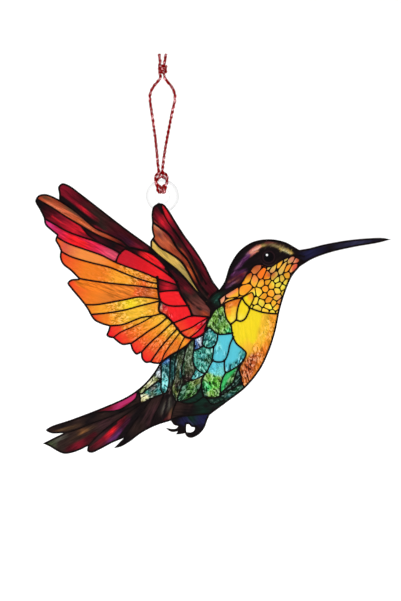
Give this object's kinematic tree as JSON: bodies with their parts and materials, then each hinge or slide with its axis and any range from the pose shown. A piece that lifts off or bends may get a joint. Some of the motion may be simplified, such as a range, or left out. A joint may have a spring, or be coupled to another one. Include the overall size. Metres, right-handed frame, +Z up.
{
  "type": "hanging ornament",
  "caption": "Flat clear acrylic sun catcher cut to a flying hummingbird's outline, printed like stained glass, hung by a glitter cord hitched through a ring at its top.",
  "frame": {"origin": "where a hook holds the cord's loop, just under its knot", "axes": "+X to the bird's bill, along the sheet; +Y from the printed front face to the back; +Z up"},
  "size_m": [0.1499, 0.0067, 0.1689],
  "materials": {
    "clear_acrylic": "clear, polished faces and laser-cut edges",
    "glitter_cord": "twisted red twine with silver and pink glitter threads",
    "printed_ink": "translucent printed colours between dark lines, glossy"
  },
  "bodies": {
    "root": {"acrylic_panel": "clear_acrylic", "hanging_cord": "glitter_cord", "cord_knot": "glitter_cord"}
  },
  "joints": []
}
